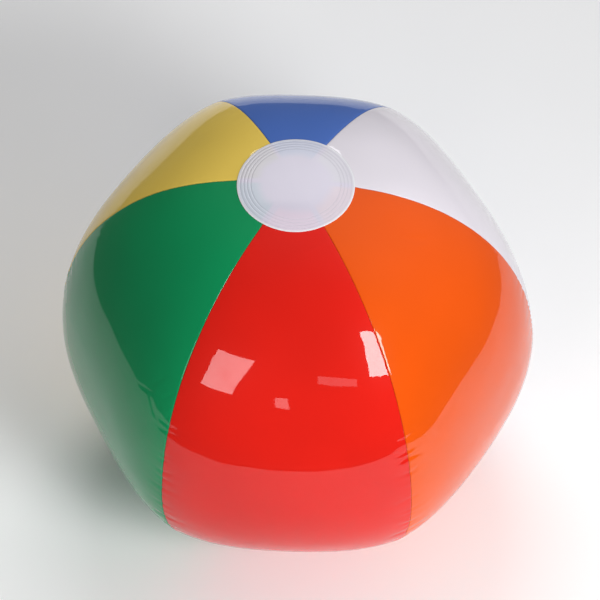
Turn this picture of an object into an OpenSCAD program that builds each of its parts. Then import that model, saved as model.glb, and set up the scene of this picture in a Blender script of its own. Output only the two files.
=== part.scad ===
// Inflatable beach ball: six welded film panels, two round end discs and a
// push-in air valve with its plug, tether and check flap.
// Lengths are in millimetres. The ball stands on its flat end at z = 0, its
// axis is Z, and the valve looks along +Y from the middle of the blue panel.

/* [Ball] */
// Distance from the ball's axis to a seam, halfway up
seam_r = 165; // [120:1:250]
// Height from the flat at one end to the flat at the other, over the panels
ball_h = 295; // [200:1:440]
// How far the middle of a panel lies inside the circle through the seams, halfway up
panel_inset = 8.4; // [6:0.1:14]
// Height of the straight band halfway up a panel
band_h = 13.4; // [4:0.1:30]

/* [Film] */
// Thickness of the panels' film
film_t = 0.25; // [0.15:0.01:0.5]
// Depth of the welded flanges that stand inwards along each seam
fin_depth = 4; // [2:0.1:8]

/* [End discs] */
// Radius of a round end disc
disc_r = 39.4; // [30:0.1:60]
// Thickness of an end disc's film
disc_t = 0.25; // [0.15:0.01:0.6]
// How far an end disc overlaps the panels' tips, which is its welded ring
disc_lap = 12; // [6:0.5:20]
// How far the panels' flat ends reach past the end disc
flat_margin = 1; // [0.5:0.1:3]

/* [Valve flange and skirt] */
// Radius of the round hole in the film around the valve
film_hole_r = 10.2; // [8.5:0.1:16]
// How far the flange reaches under the film around that hole
flange_lap = 6; // [4:0.1:14]
// Thickness of the flange
flange_t = 0.8; // [0.5:0.05:1.5]
// How far the flange's bore lies inside the hole in the film
flange_lip = 0.7; // [0.3:0.1:1.5]
// Wall of the soft skirt between flange and stem
skirt_t = 0.7; // [0.4:0.05:1.2]

/* [Valve stem] */
// Outer radius of the stem
stem_r = 5; // [4.2:0.1:6]
// Radius of the stem's bore
bore_r = 3; // [2:0.05:3.6]
// Length of the stem
stem_len = 13; // [10:0.5:18]
// Depth of the stem's outer end below the panel when it is pushed in
stem_recess = 2.6; // [2.2:0.1:5]

/* [Plug] */
// Radius of the plug's head
head_r = 5.3; // [4.5:0.1:6.2]
// Thickness of the plug's head
head_t = 1.4; // [0.8:0.1:2]
// Length of the plug's pin
pin_len = 6; // [4:0.5:8]
// Clearance all round the pin in the bore
pin_clearance = 0.05; // [0.02:0.01:0.1]
// Gap between the plug's head and the end of the stem
seat_gap = 0.1; // [0.05:0.01:0.2]
// How far the pull tab reaches past the head
tab_reach = 2.4; // [1:0.1:3]
// Width of the pull tab
tab_w = 4.4; // [2:0.1:7]
// Thickness of the pull tab
tab_t = 0.8; // [0.4:0.1:1.2]
// Width of the tether's strap
tether_w = 3; // [2:0.1:4]
// Thickness of the tether's strap
tether_t = 0.7; // [0.4:0.05:0.9]
// Height between the tether's two ends
tether_rise = 3.2; // [2.4:0.1:3.8]

/* [Check flap] */
// How far the flap laps over the bore
flap_lap = 0.9; // [0.5:0.1:1.2]
// Thickness of the flap
flap_t = 0.4; // [0.2:0.05:0.6]
// Gap between the flap and the inner end of the stem
flap_gap = 0.15; // [0.1:0.01:0.25]
// Width of the flap's hinge strip
hinge_w = 4; // [3:0.1:5]

/* [Hidden] */
$fn = 96;

panel_count = 6;
panel_angle = 360 / panel_count;
half_angle = panel_angle / 2;

// The middle of a panel, seen in the plane through the ball's axis: an arc that
// leaves the straight band upright and ends at the rim of the flat end.
mid_r = seam_r - panel_inset;
flat_r = disc_r + flat_margin;
arc_y = band_h / 2;
arc_run = mid_r - flat_r;
arc_climb = ball_h / 2 - arc_y;
arc_r = (arc_run * arc_run + arc_climb * arc_climb) / (2 * arc_run);
arc_x = mid_r - arc_r;

// A level cut through a panel is an arc from seam to seam about its own axis.
half_chord = seam_r * sin(half_angle);
rise = mid_r - seam_r * cos(half_angle);
hoop_r = (half_chord * half_chord + rise * rise) / (2 * rise);
hoop_offset = hoop_r - mid_r;
hoop_past_seam = 4;
hoop_angle = asin(half_chord / hoop_r) + hoop_past_seam;

centre_z = ball_h / 2 + disc_t;
tip_hole_r = disc_r - disc_lap;
reach = seam_r + ball_h;

red_at = 270;
orange_at = 330;
white_at = 30;
blue_at = 90;
yellow_at = 150;
green_at = 210;

// Places along the valve's axis, measured from the ball's axis.
flange_bore_r = film_hole_r - flange_lip;
flange_r = film_hole_r + flange_lap;
skirt_out = mid_r - film_t - flange_t / 2;
skirt_rim = 1.2;
stem_out = mid_r - stem_recess;
stem_in = stem_out - stem_len;
foot_h = 0.9;
pin_r = bore_r - pin_clearance;
head_in = stem_out + seat_gap;
tether_out = head_in + head_t / 2;
flap_r = bore_r + flap_lap;
flap_out = stem_in - flap_gap;
strip_past_flap = 0.5;
strip_len = flap_r + strip_past_flap;
edge_break = 0.3;
skirt_foot = 0.9;

// What a panel's face bounds, in the plane through the ball's axis. outside is
// how far the outline lies beyond the panels' outer face.
module section(outside) {
    r = arc_r + outside;
    for (side = [0, 1]) mirror([0, side]) intersection() {
        union() {
            translate([arc_x, arc_y]) intersection() {
                circle(r);
                square(2 * r);
            }
            if (arc_x > 0) square([arc_x, arc_y + r]);
            square([arc_x + r, arc_y]);
        }
        square([reach, ball_h / 2 + outside]);
    }
}

// A wall that follows a panel's face, from outside inwards.
module wall(outside, thickness) {
    difference() {
        section(outside);
        section(outside - thickness);
    }
}

// An outline turned about the panel's own axis. The panel looks along +X.
module turned() {
    translate([-hoop_offset, 0, 0]) rotate([0, 0, -hoop_angle])
        rotate_extrude(angle = 2 * hoop_angle) translate([hoop_offset, 0]) children();
}

// A prism over the sector between a panel's two seams.
module sector() {
    translate([0, 0, -reach]) linear_extrude(2 * reach) polygon([
        [0, 0],
        [reach, -reach * tan(half_angle)],
        [reach, reach * tan(half_angle)]
    ]);
}

// One panel with its welded flanges: a thick shell, hollowed behind the film.
module panel() {
    difference() {
        intersection() {
            turned() wall(0, fin_depth);
            sector();
        }
        intersection() {
            turned() wall(-film_t, fin_depth);
            translate([film_t / sin(half_angle), 0, 0]) sector();
        }
        cylinder(r = tip_hole_r, h = 2 * reach, center = true);
    }
}

// Everything about the valve is drawn along +Z and then laid along +Y.
module along_valve() {
    translate([0, 0, centre_z]) rotate([-90, 0, 0]) children();
}

module placed_panel(at) {
    translate([0, 0, centre_z]) rotate([0, 0, at]) panel();
}

module panel_red() {
    color("firebrick") placed_panel(red_at);
}

module panel_orange() {
    color("orangered") placed_panel(orange_at);
}

module panel_white() {
    color("whitesmoke") placed_panel(white_at);
}

module panel_blue() {
    color("steelblue") difference() {
        placed_panel(blue_at);
        along_valve() cylinder(r = film_hole_r, h = reach);
    }
}

module panel_yellow() {
    color("goldenrod") placed_panel(yellow_at);
}

module panel_green() {
    color("seagreen") placed_panel(green_at);
}

module top_end_disc() {
    color("lavender") translate([0, 0, centre_z + ball_h / 2]) cylinder(r = disc_r, h = disc_t);
}

module bottom_end_disc() {
    color("lavender") cylinder(r = disc_r, h = disc_t);
}

// The flange follows the film that it is welded under.
module valve_flange() {
    color("white") difference() {
        intersection() {
            translate([0, 0, centre_z]) rotate([0, 0, blue_at])
                turned() wall(-film_t, flange_t);
            along_valve() cylinder(r = flange_r, h = reach);
        }
        along_valve() cylinder(r = flange_bore_r, h = reach);
    }
}

// The skirt folds inwards to the stem's foot, so that the stem lies in a well.
module valve_skirt() {
    color("white") along_valve() rotate_extrude() polygon([
        [flange_bore_r, skirt_out],
        [flange_bore_r, skirt_out - skirt_rim],
        [stem_r + skirt_foot, stem_in],
        [stem_r, stem_in],
        [stem_r, stem_in + foot_h],
        [stem_r + skirt_foot - skirt_t, stem_in + foot_h],
        [flange_bore_r - skirt_t, skirt_out]
    ]);
}

module valve_stem() {
    color("white") along_valve() rotate_extrude() polygon([
        [bore_r, stem_in],
        [stem_r, stem_in],
        [stem_r, stem_out - edge_break],
        [stem_r - edge_break, stem_out],
        [bore_r, stem_out]
    ]);
}

module valve_plug() {
    color("white") along_valve() {
        rotate_extrude() polygon([
            [0, stem_out - pin_len],
            [pin_r - edge_break, stem_out - pin_len],
            [pin_r, stem_out - pin_len + edge_break],
            [pin_r, head_in],
            [head_r, head_in],
            [head_r, head_in + head_t - edge_break],
            [head_r - edge_break, head_in + head_t],
            [0, head_in + head_t]
        ]);
        translate([0, -tab_w / 2, head_in]) cube([head_r + tab_reach - tab_w / 2, tab_w, tab_t]);
        translate([head_r + tab_reach - tab_w / 2, 0, head_in]) cylinder(r = tab_w / 2, h = tab_t);
    }
}

// A strap that leaves the stem's side, turns over and ends at the rim of the plug's head.
module plug_tether() {
    color("white") along_valve() difference() {
        translate([-stem_r, 0, tether_out - tether_rise / 2]) rotate([90, 0, 0])
            translate([0, 0, -tether_w / 2]) linear_extrude(tether_w) tether_outline();
        cylinder(r = stem_r, h = head_in);
        translate([0, 0, head_in]) cylinder(r = head_r, h = reach);
    }
}

module tether_outline() {
    bend_r = tether_rise / 2;
    intersection() {
        difference() {
            circle(bend_r + tether_t / 2);
            circle(bend_r - tether_t / 2);
        }
        translate([-3 * bend_r, -3 * bend_r]) square([3 * bend_r, 6 * bend_r]);
    }
    for (side = [-1, 1])
        translate([0, side * bend_r - tether_t / 2]) square([bend_r, tether_t]);
}

// The flap hangs from its strip at the stem's foot and closes the bore from inside.
module check_flap() {
    color("white") translate([0, flap_out, centre_z]) rotate([90, 0, 0]) {
        cylinder(r = flap_r, h = flap_t);
        translate([-hinge_w / 2, 0, 0]) cube([hinge_w, strip_len, flap_t]);
    }
}

panel_red();
panel_orange();
panel_white();
panel_blue();
panel_yellow();
panel_green();
top_end_disc();
bottom_end_disc();
valve_flange();
valve_skirt();
valve_stem();
valve_plug();
plug_tether();
check_flap();
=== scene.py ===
# %% [markdown]
# # An inflatable beach ball
# Six pointed panels of glossy vinyl film are welded edge to edge into a bag.
# A round disc of milky film closes each end, and a push-in valve of soft vinyl
# sits in the back panel. The measured frame says where everything goes and how
# the valve moves. This lesson gives each piece its blown-up shape and its finish.

import math

import bmesh
import bpy
import numpy as np
from mathutils import Matrix, Quaternion, Vector, noise


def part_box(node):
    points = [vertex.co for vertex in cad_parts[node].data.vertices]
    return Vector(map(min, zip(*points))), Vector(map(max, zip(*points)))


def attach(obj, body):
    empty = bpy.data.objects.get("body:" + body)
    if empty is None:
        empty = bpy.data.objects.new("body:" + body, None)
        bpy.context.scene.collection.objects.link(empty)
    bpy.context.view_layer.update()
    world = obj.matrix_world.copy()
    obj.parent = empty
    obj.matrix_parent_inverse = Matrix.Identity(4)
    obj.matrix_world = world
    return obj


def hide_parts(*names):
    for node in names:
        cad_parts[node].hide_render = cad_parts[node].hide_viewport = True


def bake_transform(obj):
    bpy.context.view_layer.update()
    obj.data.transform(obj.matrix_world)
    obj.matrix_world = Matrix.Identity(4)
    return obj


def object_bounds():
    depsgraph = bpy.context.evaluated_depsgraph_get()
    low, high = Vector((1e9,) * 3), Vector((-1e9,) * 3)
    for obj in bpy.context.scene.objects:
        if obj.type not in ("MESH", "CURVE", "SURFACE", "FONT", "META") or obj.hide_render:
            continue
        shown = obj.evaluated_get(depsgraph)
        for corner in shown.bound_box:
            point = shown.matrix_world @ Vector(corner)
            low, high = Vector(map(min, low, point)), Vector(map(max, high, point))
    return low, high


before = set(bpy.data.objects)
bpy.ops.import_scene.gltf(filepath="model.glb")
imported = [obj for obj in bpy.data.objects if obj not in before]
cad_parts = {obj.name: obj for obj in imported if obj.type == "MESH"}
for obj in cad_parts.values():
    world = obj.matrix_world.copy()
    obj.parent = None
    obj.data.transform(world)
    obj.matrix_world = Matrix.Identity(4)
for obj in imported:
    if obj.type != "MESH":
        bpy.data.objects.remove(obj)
frame_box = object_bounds()
low, high = frame_box
print("frame", [round(1000 * side, 1) for side in high - low], "mm")

# %% [markdown]
# Every size is worked out from the frame. The seams stand furthest from the
# ball's axis, the middles of the panels a little nearer, and the discs tell how
# wide the ends are. The inner edge of the panels' tips lies under the discs.
# Only thicknesses and small gaps are written as numbers, because film and rubber
# are too thin for a box to tell much about them.

# %% Sizes taken from the frame, in metres
MM = 0.001
SEAM_RADIUS = high.x
MIDDLE_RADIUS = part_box("panel_blue")[1].y
CENTRE_Z = (low.z + high.z) / 2
DISC_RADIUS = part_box("top_end_disc")[1].x
DISC_LAP = 12 * MM          # how wide the ring is in which a disc lies on the tips
TIP_RADIUS = DISC_RADIUS - DISC_LAP
FILM = 0.25 * MM
HOLE_ROOM = 0.7 * MM        # between the skirt and the edge of the film's hole
VALVE_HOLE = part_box("valve_skirt")[1].x + HOLE_ROOM
PANEL_COUNT = 6
print("seams", SEAM_RADIUS, "middles", MIDDLE_RADIUS, "centre", CENTRE_Z)

# %% [markdown]
# ## The blown-up shape
# Air pulls the film tight from end to end, so a seam follows a slightly squared
# oval from pole to pole. Between two seams a panel lies a little flatter than a
# circle, and that makes the ball a rounded hexagon from above. The ball sags a
# little, so its lower half is fuller. One formula holds all of this, and every
# piece of film is laid on it, so the pieces always meet.

# %% The oval and the hexagon
SQUARENESS = 2.24       # 2 would be a plain oval
PANEL_INSET = 1 - MIDDLE_RADIUS / SEAM_RADIUS
SEAM_EASE = 0.7         # 0 is a sharp fold along the seams, 1 is none
LOW_FULLNESS = 0.1      # 0 is the same below as above
POLE_RISE = 1.0145      # the poles of the oval, under the discs, against half the ball's height
HALF_HEIGHT = POLE_RISE * CENTRE_Z


def oval(latitude):
    """Distance from the axis and height of a point on an oval that is 1 wide and 1 high on each side."""
    out, up = np.cos(latitude), np.sin(latitude)
    stretch = (np.abs(out) ** SQUARENESS + np.abs(up) ** SQUARENESS) ** (-1 / SQUARENESS)
    return out * stretch, up * stretch


def bow(across):
    """How far a panel has sunk: 0 at its seams, where across is -1 and 1, and 1 in its middle."""
    return (1 - across**2) * (1 - SEAM_EASE * across**2)


def panel_narrowing(across):
    """How much nearer to the axis the film lies than at a seam."""
    return 1 - PANEL_INSET * bow(across)


def sag(out, up):
    """How much wider the ball is than the oval: below 1 in its upper half, above 1 in its lower half."""
    return 1 - LOW_FULLNESS * out * up


print("half height of the oval", round(1000 * HALF_HEIGHT, 1), "mm, panels sunk by", round(PANEL_INSET, 4))

# %% [markdown]
# Panels are never welded quite evenly. Each seam stands a degree or two off its
# even place, which is what keeps the ball from looking drawn with a compass.

# %% Where the seams stand
SEAM_SHIFTS = [0.6, 2.4, -1.2, -3.0, -0.4, 1.2]
EVEN_STEP = 360 / PANEL_COUNT
SEAMS = np.radians([EVEN_STEP * i + shift for i, shift in enumerate(SEAM_SHIFTS)] + [360 + SEAM_SHIFTS[0]])
PANELS = ["white", "blue", "yellow", "green", "red", "orange"]
for i, name in enumerate(PANELS):
    print(name, "from", round(math.degrees(SEAMS[i]), 1), "to", round(math.degrees(SEAMS[i + 1]), 1), "degrees")

# %% [markdown]
# Pieces that lie on the film, such as the discs and the valve, need its height at
# a place. Going from a distance and a direction to a height has no plain formula
# because of the sag, so the answer is guessed and put right a few times. The film
# never quite touches the floor, because the bottom disc lies under it.

# %% Height of the film over a place
CORRECTIONS = 6
FLOOR_CLEARANCE = 1.2 * FILM


def panel_share(azimuth):
    """Where an azimuth falls between the two seams beside it, from -1 to 1."""
    turned = (azimuth - SEAMS[0]) % (2 * math.pi) + SEAMS[0]
    i = np.clip(np.searchsorted(SEAMS, turned, side="right") - 1, 0, PANEL_COUNT - 1)
    return 2 * (turned - SEAMS[i]) / (SEAMS[i + 1] - SEAMS[i]) - 1


def film_rise(x, y, end):
    """Height over the floor of the film's outer face, at the top (end = 1) or the bottom (end = -1)."""
    distance = np.hypot(x, y)
    narrow = panel_narrowing(panel_share(np.arctan2(y, x)))
    out = distance / SEAM_RADIUS
    for _ in range(CORRECTIONS):
        up = end * (1 - np.minimum(out, 1) ** SQUARENESS) ** (1 / SQUARENESS)
        out = distance / (SEAM_RADIUS * narrow * sag(out, up))
    return np.maximum(CENTRE_Z + HALF_HEIGHT * up, FLOOR_CLEARANCE)


print("top of the film", round(1000 * float(film_rise(0.0, 0.0, 1)), 2), "mm")

# %% [markdown]
# The valve's flange lies behind the blue panel. Its film is looked up the other
# way: how far out along +Y it is over a place beside the valve's axis.

# %% How far out the blue film is
def film_reach(x, z):
    """How far the blue film's outer face lies from the ball's axis, along +Y."""
    up = (z - CENTRE_Z) / HALF_HEIGHT
    out = (1 - np.abs(up) ** SQUARENESS) ** (1 / SQUARENESS)
    y = MIDDLE_RADIUS + 0 * x
    for _ in range(CORRECTIONS):
        narrow = panel_narrowing(panel_share(np.arctan2(y, x)))
        y = np.sqrt((SEAM_RADIUS * narrow * sag(out, up) * out) ** 2 - x**2)
    return y


VALVE_REACH = float(film_reach(0.0, CENTRE_Z))
print("film at the valve", round(1000 * VALVE_REACH, 2), "mm from the axis")

# %% [markdown]
# ## What makes it look like film
# Along a seam two films turn inwards into the weld, which leaves a fine crease.
# The weld is shorter than the film it holds, so the film puckers beside it in
# short dimples at uneven steps. The dimples stand opposite each other on both
# sides of a seam but run out differently. Larger, softer dents come from how the
# ball was folded. These are real bumps in the mesh, because they bend reflections.
# The lower half of the ball has deep puckers, and the tight upper half hardly any.

# %% Crease and puckers
CREASE_DEPTH = 0.38 * MM
CREASE_WIDTH = 0.3 * MM
PUCKER_DEPTH = 0.8 * MM
PUCKER_WIDTH = 1.7 * MM
PUCKER_SPREAD = 0.12                    # how fast a pucker widens away from its seam
PUCKER_STEPS = (4.2, 8.6)               # from one pucker to the next, in millimetres
PUCKER_REACHES = (4, 12)                # how far a pucker runs out, in millimetres
PUCKER_LEAN = 0.16
PUCKERS_PER_SEAM = 64
FIRST_PUCKER = -205 * MM                # along the seam, from the ball's widest place
TIGHT_SHARE = 0.12                      # how much is left of the puckers in the upper half
TIGHT_FROM, TIGHT_TO = 80 * MM, 25 * MM


def smooth_step(low_end, high_end, value):
    """0 at low_end, 1 at high_end and smooth between."""
    t = np.clip((value - low_end) / (high_end - low_end), 0, 1)
    return t * t * (3 - 2 * t)


def puckers(seam, side, along, from_seam):
    """Depth of the dimples beside a seam. along and from_seam are in metres over the film."""
    shared = np.random.default_rng(40 + seam % PANEL_COUNT)
    own = np.random.default_rng(90 + 2 * (seam % PANEL_COUNT) + side)
    places = np.cumsum(shared.uniform(*PUCKER_STEPS, PUCKERS_PER_SEAM)) * MM + FIRST_PUCKER
    strengths = shared.uniform(0.1, 1, PUCKERS_PER_SEAM) ** 1.5
    reaches = own.uniform(*PUCKER_REACHES, PUCKERS_PER_SEAM) * MM
    leans = own.normal(0, PUCKER_LEAN, PUCKERS_PER_SEAM)
    depth = 0 * along
    for place, strength, reach, lean in zip(places, strengths, reaches, leans):
        off = (along - place - lean * from_seam) / (PUCKER_WIDTH + PUCKER_SPREAD * from_seam)
        depth += strength * np.exp(-off**2 - (from_seam / reach) ** 1.6)
    slackness = TIGHT_SHARE + (1 - TIGHT_SHARE) * smooth_step(TIGHT_FROM, TIGHT_TO, along)
    return PUCKER_DEPTH * depth * slackness


print(PUCKERS_PER_SEAM, "puckers beside each seam, up to", 1000 * PUCKER_DEPTH, "mm deep")

# %% [markdown]
# The soft dents are smooth noise laid over the whole ball. A ball that was packed
# flat also keeps a few short creases, which are written down one by one: where
# each lies, how it is turned and how long it is.

# %% Soft dents and old folds
FOLD_DEPTH = 0.16 * MM
FOLD_WIDTH = 1.1 * MM
FOLD_MARKS = {
    "green": [(-128, 0.071, 55, 10 * MM), (-122.5, 0.070, 48, 8 * MM), (-126, 0.053, -50, 9 * MM),
              (-130, 0.062, 15, 7 * MM), (-121, 0.058, 70, 7 * MM)],
    "orange": [(-19.4, 0.130, -28, 6 * MM), (-17.5, 0.127, -18, 5 * MM)],
}


def uneven(points, size, seed):
    """Smooth noise from about -1 to 1 at each point, with bumps of a size in metres."""
    shift = Vector((seed, 2.7 * seed, -1.3 * seed))
    return np.array([noise.noise(Vector(p) / size + shift) for p in points])


def fold_mark(azimuth, height, tilt, length, places):
    """A faint crease left by folding, as seen from outside: its middle, its tilt and its length."""
    turn = np.arctan2(places[:, 1], places[:, 0]) - math.radians(azimuth)
    turn = (turn + math.pi) % (2 * math.pi) - math.pi
    side = turn * np.hypot(places[:, 0], places[:, 1])
    rise = places[:, 2] - height
    cos, sin = math.cos(math.radians(tilt)), math.sin(math.radians(tilt))
    run, off = side * cos + rise * sin, rise * cos - side * sin
    return np.exp(-(off / FOLD_WIDTH) ** 2 - (run / length) ** 4)


print({name: len(marks) for name, marks in FOLD_MARKS.items()}, "fold marks")

# %% [markdown]
# ## Panels
# A panel starts flat, as a grid that stands for the cut film: one direction runs
# from seam to seam, the other from end to end. Its columns are packed towards the
# seams, where the crease needs them. The grid is then blown up with the formula.
# At both seams its edge is pulled inwards into a weld flange, and a Solidify
# modifier gives the film its thickness, inwards, so the outside stays exact.

# %% The flat grid
COLUMNS = 104
ROWS = 396
COLUMN_PACKING = 1.6
FLANGE_DEPTH = 4 * MM
SEAM_GAP = 0.03 * MM
AT_SEAM = 0.9999            # a grid point this far across lies on the seam


def flat_panel():
    """A grid from -1 to 1 both ways, with its columns packed towards both seams."""
    bm = bmesh.new()
    bmesh.ops.create_grid(bm, x_segments=COLUMNS, y_segments=ROWS, size=1)
    for vert in bm.verts:
        from_seam = 1 - abs(vert.co.x)
        vert.co.x = math.copysign(1 - from_seam**COLUMN_PACKING, vert.co.x)
    return bm


def tip_latitude():
    """The latitude at which a seam reaches the inner edge of the tips."""
    steps = np.linspace(0, math.pi / 2, 2000)
    out, up = oval(steps)
    return float(np.interp(-TIP_RADIUS, -SEAM_RADIUS * out * sag(out, up), steps))


TIP_LATITUDE = tip_latitude()
print("tips end at latitude", round(math.degrees(TIP_LATITUDE), 1))

# %% [markdown]
# Each point is first laid on the formula and then pushed in a little, square to
# the film, by the sum of all dents at its place. Two panels have a little more
# slack than the rest and sink deeper in one place. Under the discs the dents fade
# out, because the weld there irons the film flat.

# %% How deep the dents are
SOFT_DENTS = [(0.42 * MM, 62 * MM, 3), (0.1 * MM, 21 * MM, 8)]      # depth, size and seed
SEAM_DENTS = (0.05 * MM, 4.2 * MM, 5)
SEAM_DENTS_REACH = 15 * MM
ALONG_SEAM = 0.96                       # length over the film for each radian of latitude, in seam radii
VALVE_RINGS = [VALVE_HOLE + 1.5 * MM, VALVE_HOLE + 5.4 * MM]
VALVE_RING_DEPTH = 0.25 * MM
VALVE_RING_WIDTH = 0.7 * MM
IRONED_FROM, IRONED_TO = DISC_RADIUS + 6 * MM, DISC_RADIUS - 2 * MM


def dents(panel, across, latitude, rim, radius, places):
    """How far each point of a panel is pushed in. rim is half the panel's width at its height."""
    from_seam = (1 - np.abs(across)) * rim
    along = latitude * SEAM_RADIUS * ALONG_SEAM
    depth = CREASE_DEPTH * np.exp(-from_seam / CREASE_WIDTH)
    depth += puckers(panel, 0, along, (1 + across) * rim)
    depth += puckers(panel + 1, 1, along, (1 - across) * rim)
    for dent_depth, size, seed in SOFT_DENTS:
        depth += dent_depth * uneven(places, size, seed)
    dent_depth, size, seed = SEAM_DENTS
    depth += dent_depth * uneven(places, size, seed) * np.exp(-(from_seam / SEAM_DENTS_REACH) ** 2)
    for mark in FOLD_MARKS.get(PANELS[panel], []):
        depth += FOLD_DEPTH * fold_mark(*mark, places)
    if PANELS[panel] == "blue":
        beside_valve = np.hypot(places[:, 0], places[:, 2])
        for ring in VALVE_RINGS:
            depth += VALVE_RING_DEPTH * np.exp(-((beside_valve - ring) / VALVE_RING_WIDTH) ** 2)
    return depth * (1 - smooth_step(IRONED_FROM, IRONED_TO, radius))


print("rings around the valve at", [round(1000 * ring, 1) for ring in VALVE_RINGS], "mm")

# %% Blowing up the grid
SLACK = {"white": (0.014, 0.3), "green": (0.02, -0.5)}      # how much, and at which height of the oval
SLACK_HEIGHT = 0.4
# How far from a seam the painted shade along the crease reaches.
SEAM_SHADE_WIDTH = 0.45 * MM


def blow_up(bm, panel):
    """Moves a flat panel's points to their blown-up places, dents and all."""
    flat = np.array([vert.co for vert in bm.verts])
    across, latitude = flat[:, 0], flat[:, 1] * TIP_LATITUDE
    right, left = SEAMS[panel], SEAMS[panel + 1]
    azimuth = (left + right) / 2 + across * (left - right) / 2
    out, up = oval(latitude)
    slack, slack_place = SLACK.get(PANELS[panel], (0, 0))
    loose = slack * bow(across) * np.exp(-((up - slack_place) / SLACK_HEIGHT) ** 2)
    radius = SEAM_RADIUS * (panel_narrowing(across) - loose) * sag(out, up) * out
    rim = radius * (left - right) / 2
    azimuth = azimuth - np.sign(across) * np.where(np.abs(across) > AT_SEAM, SEAM_GAP / radius, 0)
    places = np.stack([radius * np.cos(azimuth), radius * np.sin(azimuth), HALF_HEIGHT * up], 1)
    outwards = np.stack([
        np.cos(azimuth) * out ** (SQUARENESS - 1) / SEAM_RADIUS,
        np.sin(azimuth) * out ** (SQUARENESS - 1) / SEAM_RADIUS,
        np.sign(up) * np.abs(up) ** (SQUARENESS - 1) / HALF_HEIGHT,
    ], 1)
    outwards /= np.linalg.norm(outwards, axis=1)[:, None]
    places -= outwards * dents(panel, across, latitude, rim, radius, places)[:, None]
    places[:, 2] = np.maximum(places[:, 2] + CENTRE_Z, FLOOR_CLEARANCE)
    # The weld layer holds how near each point lies to a seam; the film's colour is darkened there as painted shade
    # in the crease.
    weld = bm.verts.layers.float.new("weld")
    seam_shade_share = np.exp(-(1 - np.abs(across)) * rim / SEAM_SHADE_WIDTH)
    for vert, place, near in zip(bm.verts, places, seam_shade_share):
        vert.co = place
        vert[weld] = near


# %% [markdown]
# The film around the valve needs finer faces, for the round hole and the rings
# that the welding tool pressed around it. They are cut while the panel is flat.
# A hole punched in a grid has stepped edges, so its edge points are pulled onto
# the circle, as a punch would cut them.

# %% The valve's hole
FINE_REACH = VALVE_HOLE + 8.2 * MM
FINE_CUTS = 3
ALONG_BLUE = 0.94       # length over the film for each radian of latitude, in reaches of the valve


def valve_offset(point, panel):
    """Where a point of the flat panel lies beside the valve's axis, in metres."""
    half_turn = (SEAMS[panel + 1] - SEAMS[panel]) / 2
    azimuth = (SEAMS[panel] + SEAMS[panel + 1]) / 2 + point.x * half_turn
    return Vector((math.pi / 2 - azimuth, point.y * TIP_LATITUDE * ALONG_BLUE)) * VALVE_REACH


def middle_of(edge):
    return (edge.verts[0].co + edge.verts[1].co) / 2


def punch_valve_hole(bm, panel):
    """Cuts the flat panel finer around the valve and takes the faces inside the hole away."""
    near = [e for e in bm.edges if valve_offset(middle_of(e), panel).length < FINE_REACH]
    bmesh.ops.subdivide_edges(bm, edges=near, cuts=FINE_CUTS, use_grid_fill=True)
    inside = [f for f in bm.faces if valve_offset(f.calc_center_median(), panel).length < VALVE_HOLE]
    bmesh.ops.delete(bm, geom=inside, context="FACES")
    edge_points = [v for v in bm.verts if v.is_boundary and valve_offset(v.co, panel).length < FINE_REACH]
    right, left = SEAMS[panel], SEAMS[panel + 1]
    centre = Vector(((math.pi - right - left) / (left - right), 0, 0))
    for vert in edge_points:
        pull = VALVE_HOLE / valve_offset(vert.co, panel).length
        vert.co = centre + (vert.co - centre) * pull
    print("valve hole punched through", len(inside), "faces,", len(edge_points), "points on its edge")


# %% [markdown]
# The film's edges are then drawn inwards along both seams, in a short and a long
# step, so that the bend at the seam stays crisp and the flange stays plain.

# %% Weld flanges and thickness
FLANGE_STEPS = (0.25, 0.75)


def pull_in_flanges(bm):
    """Draws the film's edge inwards along both seams."""
    seam_edges = [e for e in bm.edges if e.is_boundary and all(v.tag for v in e.verts)]
    for step in FLANGE_STEPS:
        drawn = bmesh.ops.extrude_edge_only(bm, edges=seam_edges)["geom"]
        for vert in (g for g in drawn if isinstance(g, bmesh.types.BMVert)):
            inwards = Vector((0, 0, CENTRE_Z)) - vert.co
            vert.co += inwards.normalized() * FLANGE_DEPTH * step
        seam_edges = [g for g in drawn if isinstance(g, bmesh.types.BMEdge)]


def finished_piece(name, bm):
    """Makes an object of a bmesh. It stays at the origin, with its place in its mesh."""
    mesh = bpy.data.meshes.new(name)
    bm.to_mesh(mesh)
    bm.free()
    mesh.shade_smooth()
    piece = bpy.data.objects.new(name, mesh)
    bpy.context.scene.collection.objects.link(piece)
    return piece


def thicken(piece, thickness):
    """Gives a film its thickness, inwards from its outer face."""
    wall = piece.modifiers.new("film thickness", "SOLIDIFY")
    wall.thickness = thickness
    wall.offset = -1


print("flanges", round(1000 * FLANGE_DEPTH * sum(FLANGE_STEPS), 1), "mm deep, film", 1000 * FILM, "mm thick")

# %% Making the panels
def make_panel(panel):
    """One panel: flat, punched if it is the blue one, blown up, flanged and thickened."""
    bm = flat_panel()
    for vert in bm.verts:
        vert.tag = abs(vert.co.x) > AT_SEAM
    if PANELS[panel] == "blue":
        punch_valve_hole(bm, panel)
    blow_up(bm, panel)
    pull_in_flanges(bm)
    bmesh.ops.recalc_face_normals(bm, faces=bm.faces)
    middle = max(bm.faces, key=lambda f: f.calc_center_median().xy.length)
    if middle.normal.xy.dot(middle.calc_center_median().xy) < 0:
        bmesh.ops.reverse_faces(bm, faces=bm.faces)
    piece = finished_piece("film_" + PANELS[panel], bm)
    thicken(piece, FILM)
    return piece


panels = {name: make_panel(i) for i, name in enumerate(PANELS)}
for name, piece in panels.items():
    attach(piece, "ball")
    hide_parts("panel_" + name)
    print(piece.name, len(piece.data.polygons), "faces before the film's thickness")

# %% [markdown]
# ## End discs
# A disc is welded over the tips of all six panels with a tool that leaves fine
# rings. It is made from one straight edge, cut into short lengths and spun once
# round. Each ring is a shallow groove, and the whole disc is laid on the film. Its
# middle isn't welded to anything, so it is a little wavy.

# %% Spinning a disc
DISC_CUTS = 150
DISC_STEPS = 192


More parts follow.
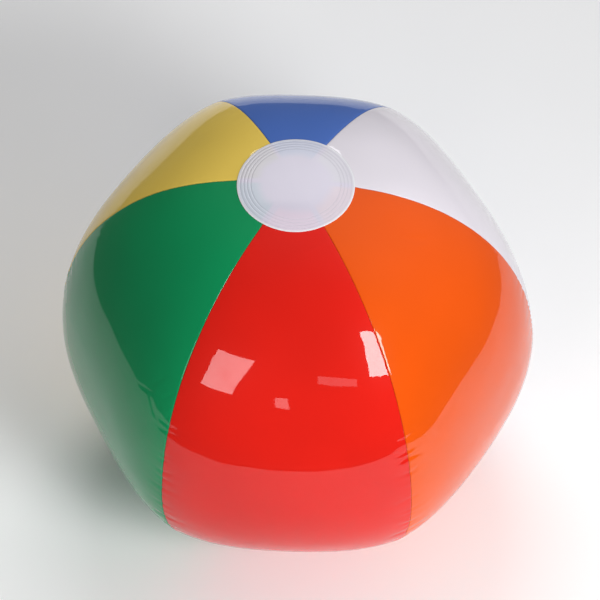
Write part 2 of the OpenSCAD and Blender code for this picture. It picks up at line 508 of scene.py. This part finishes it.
def spun_disc(radius, cuts, steps):
    """A flat round sheet of many rings, spun from one spoke."""
    bm = bmesh.new()
    middle = bm.verts.new((0, 0, 0))
    rim = bm.verts.new((radius, 0, 0))
    spoke = bm.edges.new((middle, rim))
    bmesh.ops.subdivide_edges(bm, edges=[spoke], cuts=cuts)
    bmesh.ops.spin(bm, geom=bm.verts[:] + bm.edges[:], cent=(0, 0, 0), axis=(0, 0, 1),
                   angle=2 * math.pi, steps=steps, use_merge=True)
    bmesh.ops.remove_doubles(bm, verts=bm.verts, dist=1e-6)
    return bm


# %% Making the end discs
DISC_FILM = 0.3 * MM
DISC_WALL = 0.7 * DISC_FILM
WELD_RINGS = [0.945, 0.885, 0.825, 0.765]       # in disc radii
RING_DEPTH = 0.13 * MM
RING_WIDTH = 0.32 * MM
RIM_DROP = 0.4                                  # how much of the film's thickness the rim is rounded down
RIM_ROUNDING = 0.25 * MM
DISC_WAVES = (0.18 * MM, 16 * MM, 11)           # height, size and seed
WAVES_UP_TO = 0.6 * DISC_RADIUS                 # inside this the waves have their full height


def make_end_disc(name, end):
    """A disc laid on the film, at the top (end = 1) or the bottom (end = -1)."""
    bm = spun_disc(DISC_RADIUS, DISC_CUTS, DISC_STEPS)
    flat = np.array([vert.co for vert in bm.verts])
    reach = np.hypot(flat[:, 0], flat[:, 1])
    grooves = sum(np.exp(-((reach - ring * DISC_RADIUS) / RING_WIDTH) ** 2) for ring in WELD_RINGS)
    rounding = np.exp(-(DISC_RADIUS - reach) / RIM_ROUNDING)
    wave_height, size, seed = DISC_WAVES
    waves = wave_height * uneven(flat, size, seed) * smooth_step(DISC_RADIUS, WAVES_UP_TO, reach)
    lift = DISC_FILM * (1 - RIM_DROP * rounding) - RING_DEPTH * grooves + waves
    height = film_rise(flat[:, 0], flat[:, 1], end)
    if end > 0:
        height = height + lift
    else:
        height = np.maximum(height - lift, 0)
    for vert, z in zip(bm.verts, height):
        vert.co.z = z
    bmesh.ops.recalc_face_normals(bm, faces=bm.faces)
    if bm.faces[:][0].normal.z * end < 0:
        bmesh.ops.reverse_faces(bm, faces=bm.faces)
    piece = finished_piece(name, bm)
    thicken(piece, DISC_WALL)
    return piece


end_discs = {"top_end_disc": make_end_disc("film_disc_top", 1),
             "bottom_end_disc": make_end_disc("film_disc_bottom", -1)}
for node, piece in end_discs.items():
    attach(piece, "ball")
    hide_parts(node)
    print(piece.name, len(piece.data.polygons), "faces")

# %% [markdown]
# ## The valve
# The valve is moulded from soft vinyl: a flange that is welded under the film, a
# thin skirt that lets the stem sink in or pop out, the stem, and a plug on a
# strap. Each round part is an outline of a few points, spun about the valve's
# axis and given rounded edges with a bevel.

# %% Round parts
VALVE_CENTRE = Vector((0, 0, CENTRE_Z))
ROUND_STEPS = 96
ROUND_CORNER = math.radians(35)     # edges that turn more than this are rounded


def round_edges(bm, corner, rounding, segments):
    """Bevels all edges at which two faces meet at more than an angle."""
    corners = [e for e in bm.edges if e.is_manifold and e.calc_face_angle() > corner]
    bmesh.ops.bevel(bm, geom=corners, offset=rounding, offset_type="OFFSET", segments=segments,
                    profile=0.5, affect="EDGES", material=-1, clamp_overlap=True)


def spun_part(outline, rounding, segments=3):
    """Spins a closed outline of (radius, reach) points about the valve's axis, which is +Y."""
    bm = bmesh.new()
    points = [bm.verts.new((radius, reach, CENTRE_Z)) for radius, reach in outline]
    for i, point in enumerate(points):
        bm.edges.new((point, points[(i + 1) % len(points)]))
    bmesh.ops.spin(bm, geom=bm.verts[:] + bm.edges[:], cent=VALVE_CENTRE, axis=(0, 1, 0),
                   angle=2 * math.pi, steps=ROUND_STEPS, use_merge=True)
    bmesh.ops.remove_doubles(bm, verts=bm.verts, dist=1e-7)
    bmesh.ops.dissolve_degenerate(bm, edges=bm.edges, dist=1e-7)
    bmesh.ops.recalc_face_normals(bm, faces=bm.faces)
    round_edges(bm, ROUND_CORNER, rounding, segments)
    return bm


def along_valve(node):
    """The lowest and highest reach of a valve node along +Y, and its radius."""
    near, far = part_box(node)
    return near.y, far.y, max(-near.x, far.x)


for node in ("valve_skirt", "valve_stem", "valve_plug"):
    print(node, "reaches from", [round(1000 * reach, 2) for reach in along_valve(node)[:2]], "mm")

# %% [markdown]
# The flange is welded to the inside of the film, so it is bent like the film: it
# is spun flat, cut into narrow rings and pushed out to the film, point by point.

# %% Flange
FLANGE_THICKNESS = 0.8 * MM
FLANGE_ROUNDING = 0.18 * MM
UNDER_FILM = 1.1 * FILM


def make_flange():
    outer = along_valve("valve_flange")[2]
    inner = along_valve("valve_skirt")[2]
    bm = spun_part([(inner, -FLANGE_THICKNESS), (outer, -FLANGE_THICKNESS), (outer, 0), (inner, 0)], FLANGE_ROUNDING)
    spokes = [e for e in bm.edges if abs(e.verts[0].co.y - e.verts[1].co.y) < 1e-6 and e.calc_length() > 3 * MM]
    bmesh.ops.subdivide_edges(bm, edges=spokes, cuts=8)
    for vert in bm.verts:
        vert.co.y += float(film_reach(vert.co.x, vert.co.z)) - UNDER_FILM
    return finished_piece("valve_flange_ring", bm)


# %% [markdown]
# The skirt is the part that gives way when the stem is pushed in or pops out: a
# thin cone from the hole down to the stem's foot. It is cut into many short
# lengths down its slope. The stem is a plain short tube that the air is blown through.

# %% Skirt and stem
SKIRT_WALL = 0.7 * MM
SKIRT_LIP = 1.2 * MM            # the upright band at the skirt's rim
SKIRT_FOOT = 0.9 * MM           # the thicker ring where the skirt meets the stem
SKIRT_CUTS = 14
STEM_BORE = 3 * MM


def make_skirt():
    foot, rim, outer = along_valve("valve_skirt")
    stem = along_valve("valve_stem")[2]
    bm = spun_part([
        (outer, rim), (outer, rim - SKIRT_LIP), (stem + 1.6 * MM, foot), (stem, foot),
        (stem, foot + SKIRT_FOOT), (stem + 0.6 * MM, foot + SKIRT_FOOT), (outer - SKIRT_WALL, rim),
    ], 0.15 * MM, 2)
    long_edges = [e for e in bm.edges if abs(e.verts[0].co.y - e.verts[1].co.y) > 5 * MM]
    bmesh.ops.subdivide_edges(bm, edges=long_edges, cuts=SKIRT_CUTS)
    return finished_piece("valve_skirt_soft", bm)


def make_stem():
    foot, rim, outer = along_valve("valve_stem")
    return finished_piece("valve_stem_tube", spun_part(
        [(STEM_BORE, foot), (outer, foot), (outer, rim), (STEM_BORE, rim)], 0.3 * MM))


# %% [markdown]
# The plug is a pin with a flat head, dished a little on top. A tongue beside the
# head gives fingers something to pull: half a circle is stretched into a tongue,
# drawn out to its thickness, rounded, and sunk into the head's rim.

# %% Plug
FLAT_CORNER = math.radians(60)
PIN_ROOM = 0.05 * MM            # between the pin and the bore
PIN_POINT = 0.5 * MM
HEAD_HEIGHT = 1.4 * MM
HEAD_DISH = 0.3 * MM
TAB_WIDTH, TAB_THICKNESS = 4.4 * MM, 0.8 * MM
TAB_SUNK = 0.6 * MM
TINY = 0.01 * MM


def drawn_out(bm, face, vec):
    """Extrudes a face along a vector and gives back the face at the far end."""
    drawn = bmesh.ops.extrude_face_region(bm, geom=[face])["geom"]
    bmesh.ops.translate(bm, verts=[g for g in drawn if isinstance(g, bmesh.types.BMVert)], vec=vec)
    return next(g for g in drawn if isinstance(g, bmesh.types.BMFace))


def make_plug():
    pin_end, top, tab_end = along_valve("valve_plug")
    head = -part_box("valve_plug")[0].x
    head_foot = top - HEAD_HEIGHT
    pin = STEM_BORE - PIN_ROOM
    bm = spun_part([
        (0, pin_end), (pin - PIN_POINT, pin_end), (pin, pin_end + 0.9 * MM), (pin, head_foot),
        (head, head_foot), (head, top), (head - 1.6 * MM, top),
        (head - 2 * MM, top - HEAD_DISH), (0, top - HEAD_DISH),
    ], 0.22 * MM)
    add_pull_tab(bm, head, tab_end, head_foot)
    return finished_piece("valve_plug_cap", bm)


def add_pull_tab(bm, head, tab_end, foot):
    """Adds a rounded tongue beside the plug's head."""
    tab = bmesh.new()
    round_end = tab_end - TAB_WIDTH / 2
    bmesh.ops.create_circle(tab, cap_ends=True, radius=TAB_WIDTH / 2, segments=32)
    for vert in tab.verts:
        if vert.co.x < TINY:
            vert.co.x = -(round_end - head + TAB_SUNK)
            if abs(vert.co.y) > TINY:
                vert.co.y = math.copysign(TAB_WIDTH / 2, vert.co.y)
    bmesh.ops.remove_doubles(tab, verts=tab.verts, dist=TINY / 10)
    drawn_out(tab, tab.faces[:][0], (0, 0, TAB_THICKNESS))
    bmesh.ops.recalc_face_normals(tab, faces=tab.faces)
    round_edges(tab, FLAT_CORNER, 0.2 * MM, 3)
    for vert in tab.verts:
        x, y, z = vert.co
        vert.co = Vector((round_end + x, foot + z, CENTRE_Z - y))
    bmesh.ops.recalc_face_normals(tab, faces=tab.faces)
    tongue = bpy.data.meshes.new("tongue")
    tab.to_mesh(tongue)
    tab.free()
    bm.from_mesh(tongue)


# %% [markdown]
# A strap keeps the plug on the stem: one end face is drawn out of the stem's side
# and spun half a turn, until it runs into the plug's head. The spin leaves its
# first face standing inside the strap, so that one is taken out again.

# %% Strap
STRAP_THICKNESS = 0.7 * MM
STRAP_SUNK = 0.3 * MM
STRAP_STEPS = 24


def make_tether():
    """A flat strap that leaves the stem's side, turns over and runs into the rim of the plug's head."""
    near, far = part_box("plug_tether")
    bend_x = -along_valve("valve_stem")[2]
    bend_y = (near.y + far.y) / 2
    bm = bmesh.new()
    low_y, high_y = near.y, near.y + STRAP_THICKNESS
    corners = [(low_y, near.z), (high_y, near.z), (high_y, far.z), (low_y, far.z)]
    end = bm.faces.new([bm.verts.new((bend_x + STRAP_SUNK, y, z)) for y, z in corners])
    face = drawn_out(bm, end, (-STRAP_SUNK, 0, 0))
    bmesh.ops.spin(bm, geom=[face], cent=(bend_x, bend_y, 0), axis=(0, 0, -1), angle=math.pi, steps=STRAP_STEPS)
    bmesh.ops.remove_doubles(bm, verts=bm.verts, dist=1e-7)
    inner = [f for f in bm.faces if abs(f.normal.x) > 0.9 and f.calc_center_median().y < bend_y
             and abs(f.calc_center_median().x - bend_x) < 1e-6]
    bmesh.ops.delete(bm, geom=inner, context="FACES_ONLY")
    bmesh.ops.recalc_face_normals(bm, faces=bm.faces)
    round_edges(bm, FLAT_CORNER, 0.12 * MM, 2)
    return finished_piece("plug_strap", bm)


# %% [markdown]
# Inside the ball a little flap hangs over the stem's end. Blowing pushes it open,
# and the air in the ball presses it shut. It is a round sheet whose upper edge is
# drawn up into the strip that it hangs from.

# %% Flap
HANGING_STRIP = 2.05 * MM       # half the strip's width


def make_flap():
    near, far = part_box("check_flap")
    bm = bmesh.new()
    bmesh.ops.create_circle(bm, cap_ends=True, radius=far.x, segments=64)
    for vert in bm.verts:
        if vert.co.y > 0 and abs(vert.co.x) < HANGING_STRIP:
            vert.co.y = far.z - CENTRE_Z
    bmesh.ops.rotate(bm, verts=bm.verts, cent=(0, 0, 0), matrix=Matrix.Rotation(math.pi / 2, 3, "X"))
    bmesh.ops.translate(bm, verts=bm.verts, vec=(0, near.y, CENTRE_Z))
    drawn_out(bm, bm.faces[:][0], (0, far.y - near.y, 0))
    bmesh.ops.recalc_face_normals(bm, faces=bm.faces)
    round_edges(bm, FLAT_CORNER, 0.1 * MM, 2)
    return finished_piece("check_flap_disc", bm)


# %% [markdown]
# Each piece moves with one body of the frame. Only the skirt and the strap are
# held at both ends by different bodies; they are attached to none and stay where they were built.

# %% Fitting the valve's pieces to the bodies they move with
BODIES = {"valve_flange": "ball", "valve_stem": "stem", "valve_plug": "plug", "check_flap": "flap"}

valve = {
    "valve_flange": make_flange(), "valve_skirt": make_skirt(), "valve_stem": make_stem(),
    "valve_plug": make_plug(), "plug_tether": make_tether(), "check_flap": make_flap(),
}
for node, body in BODIES.items():
    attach(valve[node], body)
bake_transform(valve["valve_skirt"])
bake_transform(valve["plug_tether"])
for node, piece in valve.items():
    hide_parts(node)
    print(piece.name, len(piece.data.polygons), "faces")

# %% [markdown]
# ## Shader maths
# A material is a small network of nodes. This class wraps one socket, so that
# sums and products of sockets can be written as plain expressions; each adds the
# Math node that it needs. Any other node comes from its one method, node().

# %% A socket that works in expressions
class Wire:
    def __init__(self, tree, socket=None):
        self.tree, self.socket = tree, socket

    def node(self, kind, settings=None, inputs=None, output=0):
        """Adds a node: first its settings, then the values or links of its sockets."""
        new = self.tree.nodes.new(kind)
        for name, value in (settings or {}).items():
            setattr(new, name, value)
        for name, value in (inputs or {}).items():
            if isinstance(value, Wire):
                self.tree.links.new(value.socket, new.inputs[name])
            else:
                new.inputs[name].default_value = value
        return Wire(self.tree, new.outputs[output] if new.outputs else None)

    def maths(self, operation, first, second=0.0):
        return self.node("ShaderNodeMath", {"operation": operation}, {0: first, 1: second})

    def __add__(self, other):
        return self.maths("ADD", self, other)

    def __sub__(self, other):
        return self.maths("SUBTRACT", self, other)

    def __rsub__(self, other):
        return self.maths("SUBTRACT", other, self)

    def __mul__(self, other):
        return self.maths("MULTIPLY", self, other)

    def __truediv__(self, other):
        return self.maths("DIVIDE", self, other)

    __radd__, __rmul__ = __add__, __mul__

    def step(self, start, end):
        """0 before start, 1 after end, smooth between."""
        return self.node("ShaderNodeMapRange", {"interpolation_type": "SMOOTHSTEP"},
                         {"Value": self, "From Min": start, "From Max": end})

    def blend(self, one, other):
        """A colour that goes from one to the other as this wire goes from 0 to 1."""
        return self.node("ShaderNodeMix", {"data_type": "RGBA"}, {0: self, 6: one, 7: other}, output=2)


# %% [markdown]
# Every material starts from the place on the piece, in the ball's own
# coordinates, and ends in one Principled shader. What is the same all over is set
# on the shader's sockets, and only what varies is linked to them.

# %% Starting and finishing a material
def new_material(name):
    """An empty material, with a first wire to work from and the place on the piece."""
    material = bpy.data.materials.new(name)
    material.use_nodes = True
    material.node_tree.nodes.clear()
    start = Wire(material.node_tree)
    place = start.node("ShaderNodeTexCoord", output=3)
    return material, start, place


def set_surface(start, surface, varying):
    """Ends a material. surface holds plain values, varying holds wires."""
    shader = start.node("ShaderNodeBsdfPrincipled", {}, {**surface, **varying})
    start.node("ShaderNodeOutputMaterial", {}, {"Surface": shader})


def bumps(start, layers):
    """One Bump node per layer of (height, strength, distance), each on top of the last."""
    normal = None
    for height, strength, distance in layers:
        inputs = {"Height": height, "Strength": strength, "Distance": distance}
        if normal:
            inputs["Normal"] = normal
        normal = start.node("ShaderNodeBump", {}, inputs)
    return normal


# %% [markdown]
# ## Glossy vinyl film
# The colour lies in the film, under a very smooth face, so the gloss is a clear
# coat over a softer body. Close up the face has a faint orange peel from being
# blown tight, hairline creases where it was folded in its packet, and smudges
# that dull the gloss a little. Along the seams the colour is darkened, which is
# painted shade in the crease.

# %% Film
# DEEPER and PALER are the film's own tones; the third factor darkens the colour along the seams as painted shade in
# the crease.
DEEPER, PALER, SEAM_SHADE_FACTOR = 0.94, 1.05, 0.75       # shades of a film's own colour
CREASE_PATH = (0.02, 0.02, 0.02)                # how far the hairline creases wander, in metres
FINE_BUMP = 0.12 * MM


def noise_over(start, place, scale, detail, roughness=0.5, output=0):
    """A Noise Texture over the piece. scale is in bumps for each metre."""
    return start.node("ShaderNodeTexNoise", {}, {
        "Vector": place, "Scale": scale, "Detail": detail, "Roughness": roughness,
    }, output=output)


def hairline_creases(start, place):
    """1 on the creases that are left from the packet, 0 elsewhere: the edges of bent cells, in patches."""
    bent = noise_over(start, place, 30.0, 2.0, output=1)
    path = start.node("ShaderNodeVectorMath", {"operation": "MULTIPLY_ADD"}, {0: bent, 1: CREASE_PATH, 2: place})
    cells = start.node("ShaderNodeTexVoronoi", {"feature": "DISTANCE_TO_EDGE"}, {"Vector": path, "Scale": 26.0})
    patches = noise_over(start, place, 17.0, 3.0).step(0.56, 0.66)
    return (1 - cells.step(0.0, 0.05)) * patches


def film_material(name, colour):
    material, start, place = new_material(name)
    deeper, paler, seam_shade_colour = ((*(shade * Vector(colour)), 1) for shade in (DEEPER, PALER, SEAM_SHADE_FACTOR))
    base = noise_over(start, place, 9.0, 2.0).step(0.3, 0.7).blend(deeper, paler)
    # Painted shade: the colour darkens towards the seams, as if the crease were in shade.
    weld = start.node("ShaderNodeAttribute", {"attribute_name": "weld"}, output=2)
    base = weld.step(0.3, 1.0).blend(base, seam_shade_colour)
    peel = noise_over(start, place, 210.0, 1.0)
    creases = hairline_creases(start, place)
    smudge = noise_over(start, place, 46.0, 5.0, roughness=0.62)
    set_surface(start, {
        "IOR": 1.5, "Specular IOR Level": 0.02, "Coat Roughness": 0.03, "Coat IOR": 1.46,
    }, {
        "Base Color": base,
        "Roughness": 0.3 + 0.1 * smudge + 0.08 * creases,
        "Coat Weight": 0.9 - 0.2 * smudge.step(0.5, 0.85),
        "Normal": bumps(start, [(peel, 0.12, FINE_BUMP), (creases, 0.3, FINE_BUMP)]),
    })
    return material


# %% Colours of the panels
FILM_COLOURS = {
    "red": (0.66, 0.011, 0.005), "orange": (0.71, 0.080, 0.001), "white": (0.72, 0.68, 0.735),
    "blue": (0.055, 0.145, 0.50), "yellow": (0.86, 0.61, 0.10), "green": (0.002, 0.265, 0.088),
}
for name, colour in FILM_COLOURS.items():
    panels[name].data.materials.append(film_material(name + " film", colour))
    print(name, "film", colour)

# %% [markdown]
# The discs are of the same kind of film, milky and a little see-through. The
# tips of the panels lie under their outer part and tint it, each with its own
# colour, and inside that ring the far side of the ball shines through.

# %% Milky film's colours
TINTS = {
    "white": (0.61, 0.59, 0.65), "blue": (0.54, 0.56, 0.67), "yellow": (0.60, 0.58, 0.61),
    "green": (0.53, 0.57, 0.64), "red": (0.66, 0.57, 0.66), "orange": (0.65, 0.57, 0.63),
}
MILKY = (0.61, 0.575, 0.67, 1)
GROOVE_GREY = (0.44, 0.42, 0.48, 1)
RIM_WHITE = (0.74, 0.74, 0.77, 1)
TINT_FULL, TINT_ENDS = math.cos(math.radians(27.5)), math.cos(math.radians(32.5))    # from its panel's middle
TINT_FROM, TINT_TO = 0.58, 0.78         # in disc radii, like the next two lines
GROOVE_FULL, GROOVE_ENDS = 0.003, 0.013
RIM_FROM, RIM_TO = 0.962, 0.985
print("milky film, tinted by", len(TINTS), "panels")


# %% Milky film
def panel_tints(start, x, y, far):
    """Each panel's tint over its own sixth of the disc."""
    base = MILKY
    for i, name in enumerate(PANELS):
        middle = float((SEAMS[i] + SEAMS[i + 1]) / 2)
        towards = (x * math.cos(middle) + y * math.sin(middle)) / (far + 0.001)
        base = towards.step(TINT_ENDS, TINT_FULL).blend(base, (*TINTS[name], 1))
    return base


def milky_material():
    material, start, place = new_material("milky film")
    x, y = (start.node("ShaderNodeSeparateXYZ", {}, {0: place}, output=i) for i in (0, 1))
    far = start.maths("SQRT", x * x + y * y)
    ring = far / DISC_RADIUS
    cloud = noise_over(start, place, 60.0, 3.0)
    tinted = (ring + 0.12 * cloud).step(TINT_FROM, TINT_TO)
    base = tinted.blend(MILKY, panel_tints(start, x, y, far))
    grooves = sum(1 - start.maths("ABSOLUTE", ring - weld).step(GROOVE_FULL, GROOVE_ENDS) for weld in WELD_RINGS)
    base = (0.3 * grooves).blend(base, GROOVE_GREY)
    base = ring.step(RIM_FROM, RIM_TO).blend(base, RIM_WHITE)
    grain = noise_over(start, place, 420.0, 2.0)
    set_surface(start, {
        "IOR": 1.5, "Specular IOR Level": 0.05, "Coat Roughness": 0.16, "Coat IOR": 1.46,
    }, {
        "Base Color": base,
        "Roughness": 0.34 + 0.12 * cloud,
        "Coat Weight": 0.45 - 0.1 * cloud,
        "Normal": bumps(start, [(grain, 0.1, 0.08 * MM)]),
    })
    return material


milky_film = milky_material()
for piece in end_discs.values():
    piece.data.materials.append(milky_film)
print(milky_film.name, "with", len(milky_film.node_tree.nodes), "nodes on", len(end_discs), "discs")

# %% [markdown]
# The valve's vinyl is moulded, softer and less shiny than the film, and slightly
# yellowed and dusty in patches.

# %% Soft moulded vinyl
VINYL_CLEAN = (0.70, 0.69, 0.66, 1)
VINYL_DUSTY = (0.61, 0.60, 0.565, 1)


def soft_vinyl_material():
    material, start, place = new_material("soft vinyl")
    cloud = noise_over(start, place, 180.0, 4.0)
    grain = noise_over(start, place, 1500.0, 2.0)
    base = cloud.step(0.35, 0.7).blend(VINYL_CLEAN, VINYL_DUSTY)
    set_surface(start, {"IOR": 1.5, "Specular IOR Level": 0.5, "Subsurface Radius": (0.002, 0.0018, 0.0015)}, {
        "Base Color": base,
        "Roughness": 0.38 + 0.16 * cloud,
        "Normal": bumps(start, [(grain, 0.25, 0.06 * MM)]),
    })
    return material


soft_vinyl = soft_vinyl_material()
for piece in valve.values():
    piece.data.materials.append(soft_vinyl)
print("soft vinyl on", len(valve), "pieces")

# %% [markdown]
# ## Studio
# The ball stands on a pale board whose near edge and right edge are not far
# away: their mirror image is the soft line that runs round the lower half of the
# ball. The board is a grid whose points are slid into place: its near edge curves
# forward on the left, and its right edge runs at a slant.

# %% Floor
PALE_GREY, PALER_GREY = (0.91, 0.91, 0.91, 1), (0.93, 0.93, 0.93, 1)


def floor_material():
    material, start, place = new_material("pale board")
    cloud = noise_over(start, place, 4.0, 3.0)
    base = cloud.step(0.3, 0.7).blend(PALE_GREY, PALER_GREY)
    set_surface(start, {"Specular IOR Level": 0.2}, {"Base Color": base, "Roughness": 0.7 + 0.1 * cloud})
    return material


BOARD_NEAR = -0.48
BOARD_FAR = 1.1
BOARD_LEFT = -0.68
BOARD_RIGHT = 0.37
BOARD_SLANT = 0.45
BOARD_CURVE = 0.9
CURVE_FROM = -0.2


def make_board():
    """A flat grid from 0 to 1 both ways, slid to the board's outline in metres."""
    bm = bmesh.new()
    bmesh.ops.create_grid(bm, x_segments=24, y_segments=24, size=0.5)
    for vert in bm.verts:
        across, back = vert.co.x + 0.5, vert.co.y + 0.5
        right = BOARD_RIGHT + BOARD_SLANT * back * (BOARD_FAR - BOARD_NEAR)
        x = BOARD_LEFT + across * (right - BOARD_LEFT)
        near = BOARD_NEAR + BOARD_CURVE * max(0, CURVE_FROM - x) ** 2
        vert.co = Vector((x, near + back * (BOARD_FAR - near), 0))
    return finished_piece("board", bm)


board = make_board()
board.data.materials.append(floor_material())
print("board from", BOARD_LEFT, "to", BOARD_RIGHT, "m across and from", BOARD_NEAR, "to", BOARD_FAR, "m in depth")

# %% [markdown]
# The film mirrors every lamp as a patch of light of the same outline, so each lamp
# is described as the ball sees it: its direction, its width and height as angles,
# and how it is rolled. Two large lamps in front make the two windows of light on
# the red film, two small ones the patches between them, and one behind lights the
# top disc.

# %% Lamps
BALL_CENTRE = Vector((0, 0, CENTRE_Z))
LAMP_DISTANCE = 1.6


def direction(turn, climb):
    """A direction from the ball, in degrees: turn from the front towards the right, climb from the floor."""
    turn, climb = math.radians(turn), math.radians(climb)
    return Vector((math.sin(turn) * math.cos(climb), -math.cos(turn) * math.cos(climb), math.sin(climb)))


def turned_to(towards, roll):
    """The rotation of a lamp or camera that stands in a direction and looks back at the ball."""
    return (towards.to_track_quat("Z", "Y") @ Quaternion((0, 0, 1), math.radians(roll))).to_euler()


def add_lamp(name, turn, climb, width, height, power, roll=0):
    """A flat lamp that looks at the ball. power is in watts for each square metre."""
    light = bpy.data.lights.new(name, "AREA")
    light.shape = "RECTANGLE"
    light.size = 2 * LAMP_DISTANCE * math.tan(math.radians(width / 2))
    light.size_y = 2 * LAMP_DISTANCE * math.tan(math.radians(height / 2))
    light.energy = power * light.size * light.size_y
    lamp = bpy.data.objects.new(name, light)
    bpy.context.scene.collection.objects.link(lamp)
    towards = direction(turn, climb)
    lamp.location = BALL_CENTRE + LAMP_DISTANCE * towards
    lamp.rotation_euler = turned_to(towards, roll)
    print(name, "lamp", round(light.size, 2), "by", round(light.size_y, 2), "m,", round(light.energy, 1), "W")


add_lamp("left window", turn=-21, climb=20.5, width=16.5, height=19.5, power=22, roll=-9)
add_lamp("right window", turn=43, climb=29.5, width=21, height=24, power=58, roll=-15)
add_lamp("far strip", turn=13, climb=19.5, width=13, height=3.5, power=6, roll=-8)
add_lamp("rear window", turn=-177, climb=50, width=28, height=22, power=17)
add_lamp("far spot", turn=-2.8, climb=8.3, width=2.2, height=4.5, power=12)

# %% [markdown]
# The rest of the light is soft and has no edges that the film could mirror: an
# even, dim room with one side that is gently brighter, behind the ball and above it.

# %% Soft light from the room
ROOM_LIGHT = 0.12
ROOM_WHITE = (1, 1, 1.02, 1)
WALL_LIGHT = 0.45
WALL_FALL_OFF = 3
WALL = direction(145, 40)


def light_room():
    world = bpy.data.worlds.new("surroundings")
    world.use_nodes = True
    world.node_tree.nodes.clear()
    start = Wire(world.node_tree)
    looking = start.node("ShaderNodeTexCoord", output=0)
    towards_wall = start.node("ShaderNodeVectorMath", {"operation": "DOT_PRODUCT"},
                              {0: looking, 1: tuple(WALL)}, output=1)
    glow = start.maths("POWER", start.maths("MAXIMUM", towards_wall, 0), WALL_FALL_OFF)
    strength = ROOM_LIGHT + WALL_LIGHT * glow
    room = start.node("ShaderNodeBackground", {}, {"Color": ROOM_WHITE, "Strength": strength})
    start.node("ShaderNodeOutputWorld", {}, {"Surface": room})
    return world


bpy.context.scene.world = light_room()
bpy.context.scene.view_settings.view_transform = "Standard"
print("room light", ROOM_LIGHT, "rising to", ROOM_LIGHT + WALL_LIGHT)

# %% [markdown]
# ## Camera
# A long lens from well above the front, so that the top disc shows as an oval. The
# lens is shifted a little, which moves the ball in the picture and bends no lines.

# %% Camera
CAMERA_TURN = 3.4
CAMERA_CLIMB = 53.7
CAMERA_DISTANCE = 14.5 * SEAM_RADIUS
CAMERA_ROLL = -0.27
LENS = 204.9
SENSOR = 36
LENS_SHIFT = (0.00583, 0.02617)

lens = bpy.data.cameras.new("camera")
lens.lens, lens.sensor_width = LENS, SENSOR
camera = bpy.data.objects.new("camera", lens)
bpy.context.scene.collection.objects.link(camera)
view = direction(CAMERA_TURN, CAMERA_CLIMB)
camera.rotation_euler = turned_to(view, CAMERA_ROLL)
camera.location = BALL_CENTRE + CAMERA_DISTANCE * view
lens.shift_x, lens.shift_y = LENS_SHIFT
bpy.context.scene.camera = camera
print("camera", [round(v, 3) for v in camera.location])

# %% [markdown]
# The pieces were handed to the frame's own bodies as they were made. Last, the
# scene is brought up to date.

# %% Bringing the scene up to date
bpy.context.view_layer.update()
